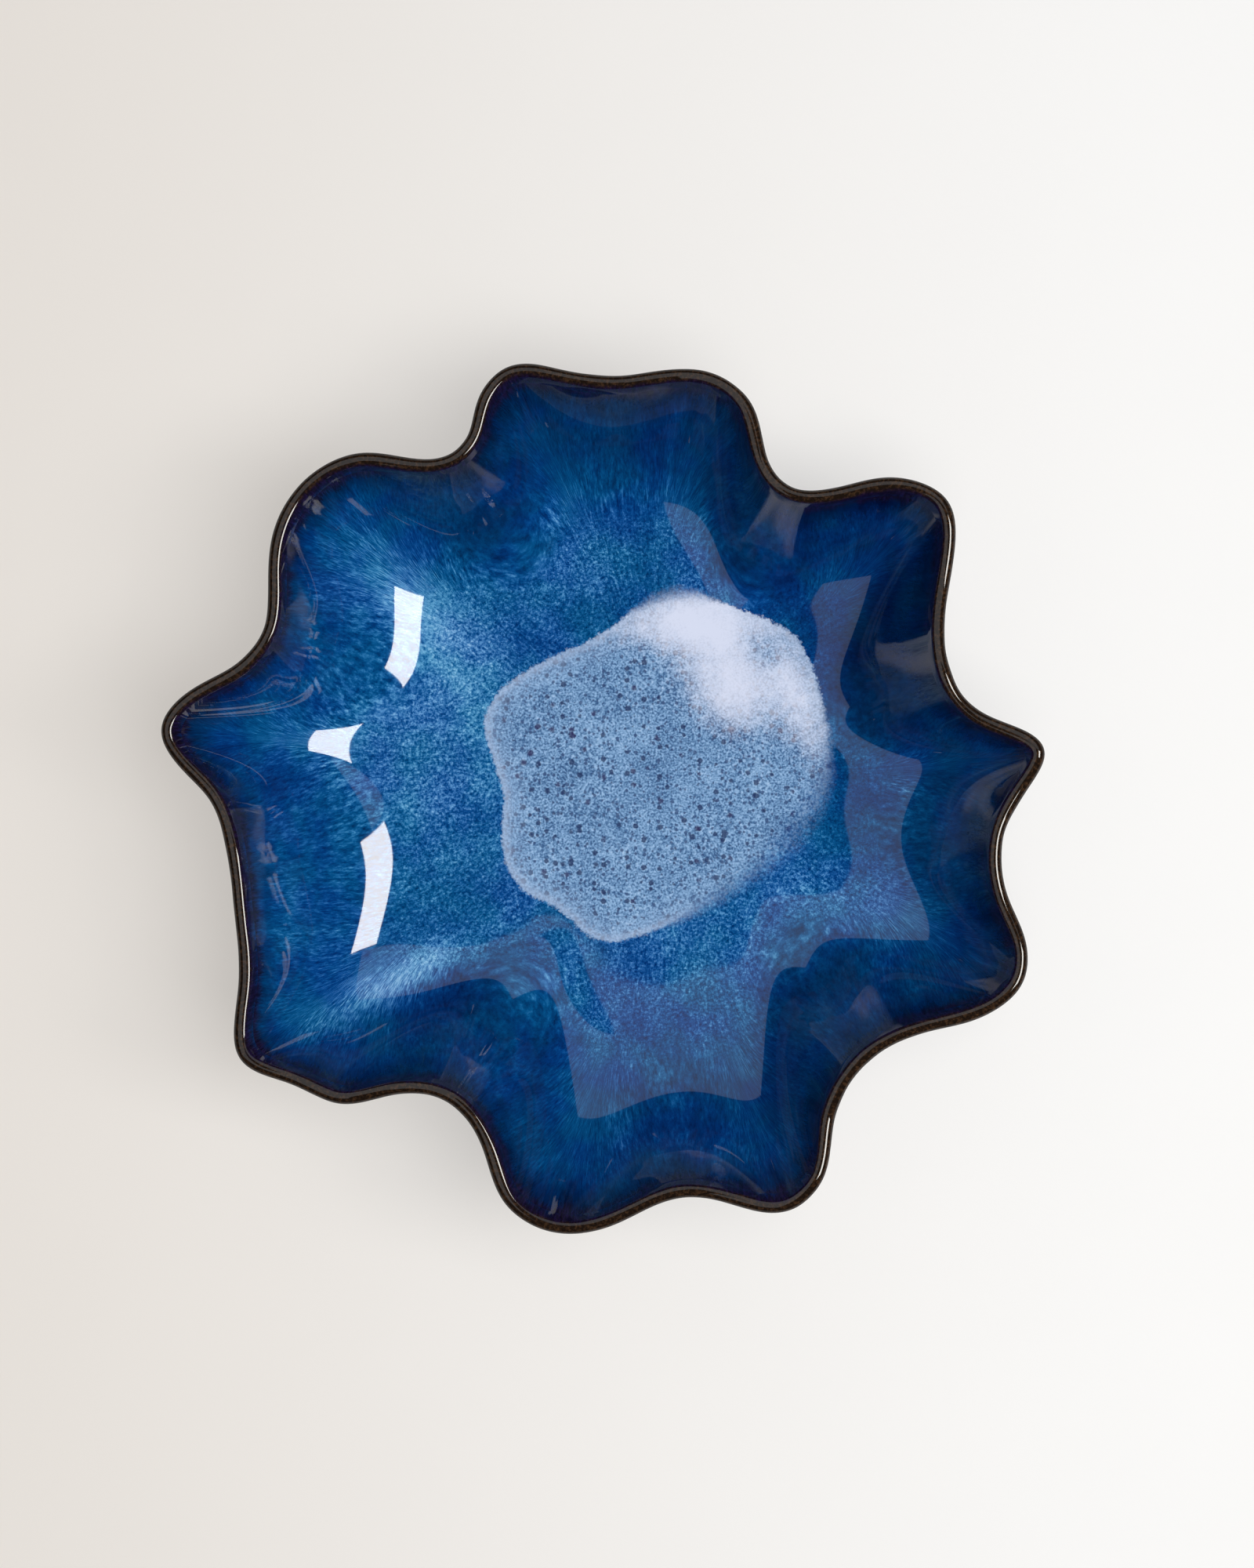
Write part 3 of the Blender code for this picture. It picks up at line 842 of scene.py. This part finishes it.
def outside_material(name):
    """The outside coat: a darker, mottled blue that breaks to brown where the wall stands proud."""
    graph = Graph(name)
    where = graph.place()
    run = graph.trait("run", vector=True)
    to_lip = graph.trait("to_lip")
    streaks = graph.noise(run, 1.8, 4.0, 0.62)
    wisps = graph.noise(run, 9.0, 4.0, 0.65)
    clumps = graph.noise(where, 14.0, 3.0, 0.6)
    ground = graph.mix(graph.step(clumps, 0.38, 0.66), paint(6, 18, 52), paint(3, 38, 84))
    level = graph.add(streaks, graph.centred(wisps, 0.5))
    colour = graph.mix(graph.step(level, 0.46, 0.70), ground, paint(34, 84, 142))
    brown = graph.mix(graph.step(streaks, 0.4, 0.65), paint(20, 14, 14), paint(66, 42, 24))
    edge = graph.add(to_lip, graph.centred(wisps, 12.0))
    colour = graph.mix(graph.step(edge, 5.0, 15.0, 1.0, 0.0), colour, brown)
    low = graph.add(graph.trait("to_line"), graph.centred(wisps, 3.0))
    colour = graph.mix(graph.step(low, 0.6, 3.4, 0.85, 0.0), colour, paint(24, 16, 14))
    colour = lip_brown(graph, where, to_lip, colour)
    graph.shader.inputs["IOR"].default_value = GLAZE_IOR
    graph.bump(graph.noise(where, 1.4, 2.0), 0.006)
    return graph.finish(colour, graph.step(streaks, 0.3, 0.7, 0.05, 0.10))


def clay_material(name, warm, dark):
    """Bare, groggy stoneware: warm, matte, with iron specks and pale grit."""
    graph = Graph(name)
    where = graph.place()
    toast = graph.noise(where, 16.0, 4.0, 0.6)
    grit = graph.noise(where, 0.8, 3.0, 0.6)
    colour = graph.mix(graph.step(toast, 0.35, 0.68), warm, dark)
    colour = graph.mix(graph.step(grit, 0.45, 0.68, 0.0, 0.5), colour, paint(196, 170, 138))
    away = graph.specks(where, 2.4, 0.55, 0.20)
    colour = graph.mix(graph.step(away, -0.05, 0.03, 0.85, 0.0), colour, paint(62, 40, 28))
    graph.bump(graph.add(grit, graph.times(toast, 0.5)), 0.12)
    return graph.finish(colour, graph.step(grit, 0.3, 0.7, 0.72, 0.9))


# --------------------------------------------------------------------------- the pieces

# Traits of the places that the inside's own grid doesn't reach.
LIP_PAST_POOL = 80.0
LIP_STEEPNESS = 0.8
OUTSIDE_TO_LIP = 5.2   # from the outside coat's last row to the lip's crest
HIDDEN_TO_LIP = 20.0

TURNING_STEP = 1.0     # distance between the rings that carry the underside's turning marks
TURNING_DEPTH = 0.05
FOOT_MARK_DEPTH = 0.07
FOOT_OVAL = 0.05       # how far the foot is from round


def make_inside():
    """The blue glaze and the pale pool, which meet flush at the pool's edge."""
    pool_edge = WALL.share_at(radius_at(POOL_CURVE, ANGLES))
    pool_shares = [pool_edge * (row + 1) / POOL_ROWS for row in range(POOL_ROWS)]
    wall_shares = crowded(pool_edge, np.full(COLUMNS, LIP_GLAZE), WALL_ROWS)[1:]
    shares = np.array(pool_shares + wall_shares)
    grid = np.array([uneven_inside_ring(share, GAP + GLAZE) for share in shares])
    traits = inside_traits(grid)
    traits["to_lip"] = traits["to_lip"] + np.pi * BEAD_RADIUS / 2.0 + BEAD_SEAM

    pool_rows = slice(0, POOL_ROWS)
    wall_rows = slice(POOL_ROWS - 1, len(shares))
    under = list(range(POOL_ROWS - 1, 0, -HIDDEN_EVERY))
    below = np.array([inside_ring(shares[row], GAP) for row in under])
    rings = np.concatenate([grid[pool_rows], below])
    pool_traits = join_traits([split_traits(traits, pool_rows), split_traits(traits, under)])
    floor = FOOT_HEIGHT + GAP + CLAY_AT_FLOOR
    top_tip = (*WELL_CENTRE, floor + GAP + GLAZE + unevenness(np.array(WELL_CENTRE)))
    tips = [top_tip, (*WELL_CENTRE, floor + GAP)]
    pool = make_piece("pale_pool", rings, pool_traits, inside_material("pale_pool_glaze"), tips)

    hidden = list(range(len(shares) - 1, POOL_ROWS - 2, -HIDDEN_EVERY))
    if hidden[-1] != POOL_ROWS - 1:
        hidden.append(POOL_ROWS - 1)
    below = np.array([inside_ring(shares[row], GAP) for row in hidden])
    rings = np.concatenate([grid[wall_rows], below])
    wall_traits = join_traits([split_traits(traits, wall_rows), split_traits(traits, hidden)])
    wall = make_piece("inside_glaze", rings, wall_traits, inside_material("streaked_blue_glaze"))
    return pool, wall, grid[-1], traits["pale"][-1]


def lip_rings(radius):
    top = np.ones(COLUMNS)
    centre = WALL.points(top)
    up, inward = directions(top)
    bends = np.linspace(0.0, np.pi, LIP_STEPS + 1)
    radius = np.asarray(radius)[..., None] * np.ones((COLUMNS, 1))
    return [centre + radius * (inward * np.cos(bend) + up * np.sin(bend)) for bend in bends]


def make_lip(inner_edge, outer_edge, pale_at_lip):
    """The bead of brown glaze over the lip."""
    start = np.full(COLUMNS, LIP_GLAZE)
    waver = periodic_noise((7, 13, 19, 31, 44), BEAD_WAVER)
    outer = [inner_edge] + lip_rings(BEAD_RADIUS + waver) + [outer_edge]
    inner = lip_rings(CLAY_AT_LIP / 2.0 + GAP)[::-2]
    inner = [outside_ring(start, GAP)] + inner + [inside_ring(start, GAP)]
    rings = np.array(outer + inner)
    arc, length = rim_arc()
    crest = len(outer) // 2
    along = distance_along(rings[: len(outer)])
    to_lip = np.abs(along - along[crest])
    to_lip = np.concatenate([to_lip, np.zeros((len(inner), COLUMNS))])
    source = np.broadcast_to(arc, to_lip.shape)
    traits = {
        "run": on_cylinder(source, to_lip, length, STREAK_STRETCH),
        "to_lip": to_lip,
        "past_pool": np.full(to_lip.shape, LIP_PAST_POOL),
        "steep": np.full(to_lip.shape, LIP_STEEPNESS),
        "pale": np.broadcast_to(pale_at_lip, to_lip.shape),
        "cloud_and_sheen": np.zeros(to_lip.shape),
        "fuzz": np.zeros(to_lip.shape),
    }
    return make_piece("lip_bead", rings, traits, inside_material("brown_lip_glaze"))


def drip_thickness(climb):
    """Thickness of the outside coat at a distance above the line where it stopped."""
    rise = np.clip(climb / DRIP_WIDTH, 0.0, 1.0)
    rounded = np.sqrt(np.clip(1.0 - (1.0 - rise) ** 2, 0.0, 1.0))
    swell = DRIP_ROLL * np.exp(-((climb / DRIP_WIDTH - DRIP_CREST) ** 2))
    return (GLAZE + swell) * rounded


def make_outside():
    """The outside coat, with a rolled edge where it stopped above the foot."""
    line = GLAZE_LINE + periodic_noise((3, 5, 9, 14, 23), GLAZE_LINE_WAVER)
    shares = crowded(WALL.share_at(line), np.full(COLUMNS, LIP_GLAZE), OUTSIDE_ROWS)
    plain = np.array([outside_ring(share, GAP) for share in shares])
    up_from_line = distance_along(plain)
    outer = []
    for step in (0.0, *DRIP_STEPS):
        share = shares[0] + (shares[1] - shares[0]) * step
        climb = np.linalg.norm(outside_ring(share, GAP) - plain[0], axis=1)
        outer.append(outside_ring(share, GAP + THINNEST_GLAZE + drip_thickness(climb)))
    for share, climb in zip(shares[1:], up_from_line[1:]):
        outer.append(outside_ring(share, GAP + drip_thickness(climb)))
    outer = np.array(outer)
    hidden = plain[::HIDDEN_EVERY][::-1]
    rings = np.concatenate([outer, hidden])
    arc, length = rim_arc()
    climb = distance_along(outer)
    line_distance = np.concatenate([climb, np.zeros((len(hidden), COLUMNS))])
    far = np.full((len(hidden), COLUMNS), HIDDEN_TO_LIP)
    to_lip = np.concatenate([climb[-1] - climb, far]) + OUTSIDE_TO_LIP
    source = np.broadcast_to(arc, to_lip.shape)
    traits = {
        "run": on_cylinder(source, to_lip, length, STREAK_STRETCH),
        "to_lip": to_lip,
        "to_line": line_distance,
    }
    piece = make_piece("outside_glaze", rings, traits, outside_material("mottled_outside_glaze"))
    return piece, outer[-1]


def make_clay():
    """The thrown clay, with fine turning marks on its underside."""
    base_radii = np.arange(TURNING_STEP, GLAZE_LINE + 5.0, TURNING_STEP)
    outside = []
    for radius in base_radii:
        ring = outside_ring(circle_share(radius), 0.0)
        ring[:, 2] += TURNING_DEPTH * np.sin(radius * 1.9) * np.cos(radius * 0.61)
        outside.append(ring)
    top_share = np.full(COLUMNS, 1.0)
    for share in crowded(circle_share(base_radii[-1]), top_share, CLAY_OUTSIDE_ROWS)[1:]:
        outside.append(outside_ring(share, 0.0))
    inside_shares = crowded(circle_share(CLAY_INSIDE_FROM), top_share, CLAY_INSIDE_ROWS)
    inside = [inside_ring(share, 0.0) for share in inside_shares]
    lip = lip_rings(CLAY_AT_LIP / 2.0)[2:-2:3]
    rings = np.array(outside + lip[::-1] + inside[::-1])
    floor = FOOT_HEIGHT + GAP
    tips = [(*WELL_CENTRE, floor), (*WELL_CENTRE, floor + CLAY_AT_FLOOR)]
    material = clay_material("bare_clay", paint(176, 142, 104), paint(132, 92, 60))
    return make_piece("clay_shell", rings[:, ::2], {}, material, tips)


def make_foot():
    """A turned ring with soft edges and fine turning marks."""
    inner_foot = FOOT_INNER + FOOT_TAPER
    outer_foot = FOOT_OUTER - FOOT_TAPER
    soft = np.radians(np.linspace(0.0, 90.0, FOOT_EDGE_ROWS))
    near, far = FOOT_EDGE * (1.0 - np.cos(soft)), FOOT_EDGE * (1.0 - np.sin(soft))
    under = np.linspace(inner_foot + FOOT_EDGE, outer_foot - FOOT_EDGE, FOOT_UNDER_ROWS)
    profile = []
    for level in np.linspace(FOOT_HEIGHT, FOOT_EDGE, FOOT_WALL_ROWS)[:-1]:
        lean = (FOOT_HEIGHT - level) / (FOOT_HEIGHT - FOOT_EDGE) * FOOT_TAPER
        profile.append((FOOT_INNER + lean, level))
    profile += list(zip(inner_foot + near, far))
    profile += [(radius, 0.0) for radius in under[1:-1]]
    profile += list(zip(outer_foot - far, near))
    for level in np.linspace(FOOT_EDGE, FOOT_HEIGHT, FOOT_WALL_ROWS)[1:]:
        lean = (FOOT_HEIGHT - level) / (FOOT_HEIGHT - FOOT_EDGE) * FOOT_TAPER
        profile.append((FOOT_OUTER - lean, level))
    turn = np.arange(FOOT_SEGMENTS) * FULL_TURN / FOOT_SEGMENTS
    middle = (FOOT_INNER + FOOT_OUTER) / 2.0
    rings = []
    for radius, height in profile:
        mark = FOOT_MARK_DEPTH * np.sin(height * 7.3) * np.sin(height * 2.9 + 0.6)
        wide = radius + mark * np.sign(radius - middle) + FOOT_OVAL * np.sin(3.0 * turn)
        x = WELL_CENTRE[0] + wide * np.cos(turn)
        y = WELL_CENTRE[1] + wide * np.sin(turn)
        rings.append(np.stack([x, y, np.full(FOOT_SEGMENTS, height)], axis=1))
    material = clay_material("turned_clay", paint(182, 148, 110), paint(140, 100, 66))
    return make_piece("turned_foot", rings, {}, material)


pool, inside, inner_edge, pale_at_lip = make_inside()
outside, outer_edge = make_outside()
lip = make_lip(inner_edge, outer_edge, pale_at_lip)
clay = make_clay()
foot = make_foot()

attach(pool, "root")
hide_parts("well_glaze")
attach(inside, "root")
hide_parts("interior_glaze")
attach(lip, "root")
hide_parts("rim_glaze")
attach(outside, "root")
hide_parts("exterior_glaze")
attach(clay, "root")
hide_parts("stoneware_body")
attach(foot, "root")
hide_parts("foot_ring")

# --------------------------------------------------------------------------- table, light and camera

# Lengths here are metres, apart from the card's glow.
FLOOR_SIZE = 40.0
CAMERA_PLACE = (0.00855, 0.00527, 1.9)
LENS = 115.9
CLIP_END = 100.0
BOWL_MIDDLE = (0.02, 0.01, 0.02)
CEILING_HEIGHT = 1.5
CEILING_RADIANCE = 0.80
CEILING_COLOUR = (0.97, 0.98, 1.0)
WORLD_LIGHT = (0.25, 0.247, 0.245, 1.0)
WORLD_MIRRORED = (0.01, 0.01, 0.011, 1.0)
WORLD_SEEN = (0.61, 0.60, 0.59, 1.0)
CARD_GLOW_MIRRORED = 0.25         # strength of the card's glow in reflections
CARD_GLOW_SPAN = (-300.0, 260.0)  # mm, from left to right
CARD_GLOW = ((0.462, 0.428, 0.390, 1.0), (0.572, 0.576, 0.576, 1.0))


def make_floor():
    data = bpy.data.meshes.new("table")
    half = FLOOR_SIZE / 2.0
    corners = [(-half, -half, 0.0), (half, -half, 0.0), (half, half, 0.0), (-half, half, 0.0)]
    data.from_pydata(corners, [], [(0, 1, 2, 3)])
    graph = Graph("pale_card")
    where = graph.place()
    tint = graph.mix(graph.noise(where, 60.0, 3.0), paint(159, 158, 157), paint(162, 161, 160))
    graph.bump(graph.noise(where, 0.9, 3.0, 0.6), 0.02)
    # The card glows a little, as if lit from beneath, and more warmly at its left. That keeps the
    # bowl's shadow faint.
    axes = graph.node("ShaderNodeSeparateXYZ")
    graph.feed(axes.inputs[0], where)
    across = graph.step(axes.outputs[0], *CARD_GLOW_SPAN)
    graph.feed(graph.shader.inputs["Emission Color"], graph.mix(across, *CARD_GLOW))
    mirrored = graph.node("ShaderNodeLightPath").outputs["Is Glossy Ray"]
    strength = graph.mix_number(mirrored, 1.0, CARD_GLOW_MIRRORED)
    graph.feed(graph.shader.inputs["Emission Strength"], strength)
    graph.shader.inputs["Specular IOR Level"].default_value = 0.0
    data.materials.append(graph.finish(tint, 0.85))
    floor = bpy.data.objects.new("table", data)
    bpy.context.scene.collection.objects.link(floor)


def area_light(name, size, radiance, colour):
    """A rectangular soft light that the camera doesn't see. radiance is the brightness of its face."""
    light = bpy.data.lights.new(name, "AREA")
    light.shape = "RECTANGLE"
    light.size, light.size_y = size
    light.energy = np.pi * size[0] * size[1] * radiance
    light.color = colour
    panel = bpy.data.objects.new(name, light)
    panel.visible_camera = False
    bpy.context.scene.collection.objects.link(panel)
    return panel


def add_panel(name, azimuth, elevation, distance, size, radiance, colour, diffuse=True, glossy=True):
    """A light that faces the bowl."""
    panel = area_light(name, size, radiance, colour)
    turn, lift = np.radians(azimuth), np.radians(elevation)
    outward = np.array([np.cos(turn) * np.cos(lift), np.sin(turn) * np.cos(lift), np.sin(lift)])
    panel.location = np.array(BOWL_MIDDLE) + outward * distance
    panel.rotation_euler = (np.pi / 2.0 - lift, 0.0, turn + np.pi / 2.0)
    panel.visible_diffuse = diffuse
    panel.visible_glossy = glossy


def add_ceiling(name, west, east, south, north):
    """A level panel between these edges, seen only in the glaze's reflections."""
    panel = area_light(name, (east - west, north - south), CEILING_RADIANCE, CEILING_COLOUR)
    panel.location = ((west + east) / 2.0, (south + north) / 2.0, CEILING_HEIGHT)
    panel.visible_diffuse = False


def make_world():
    """A soft, even light, darker in reflections and pale where it is seen behind the table."""
    world = bpy.data.worlds.new("studio")
    world.use_nodes = True
    tree = world.node_tree
    background = tree.nodes["Background"]
    path = tree.nodes.new("ShaderNodeLightPath")
    shade = tree.nodes.new("ShaderNodeMix")
    shade.data_type = "RGBA"
    tree.links.new(path.outputs["Is Glossy Ray"], shade.inputs[0])
    shade.inputs[6].default_value = WORLD_LIGHT
    shade.inputs[7].default_value = WORLD_MIRRORED
    seen = tree.nodes.new("ShaderNodeMix")
    seen.data_type = "RGBA"
    tree.links.new(path.outputs["Is Camera Ray"], seen.inputs[0])
    tree.links.new(shade.outputs[2], seen.inputs[6])
    seen.inputs[7].default_value = WORLD_SEEN
    tree.links.new(seen.outputs[2], background.inputs["Color"])
    bpy.context.scene.world = world


def make_camera():
    data = bpy.data.cameras.new("camera")
    data.lens = LENS
    data.clip_end = CLIP_END
    camera = bpy.data.objects.new("camera", data)
    camera.location = CAMERA_PLACE
    bpy.context.scene.collection.objects.link(camera)
    bpy.context.scene.camera = camera


make_floor()
add_panel("key_reflection", -8, 53, 1.5, (0.66, 0.50), 17.5, (1.0, 0.975, 0.92), diffuse=False)
add_panel("key_light", -8, 47, 1.6, (0.5, 0.45), 8.0, (1.0, 0.96, 0.91), glossy=False)
add_panel("top_light", -20, 72, 1.7, (1.2, 1.2), 4.8, (1.0, 0.99, 0.975), glossy=False)
add_ceiling("ceiling_left", -1.9, -0.08, -0.95, 0.11)
add_ceiling("ceiling_top", -1.9, 0.10, 0.11, 2.2)
add_ceiling("ceiling_corner", 0.10, 1.2, 0.31, 2.2)
make_world()
make_camera()
bpy.context.scene.view_settings.view_transform = "Standard"
bpy.context.scene.view_settings.look = "None"
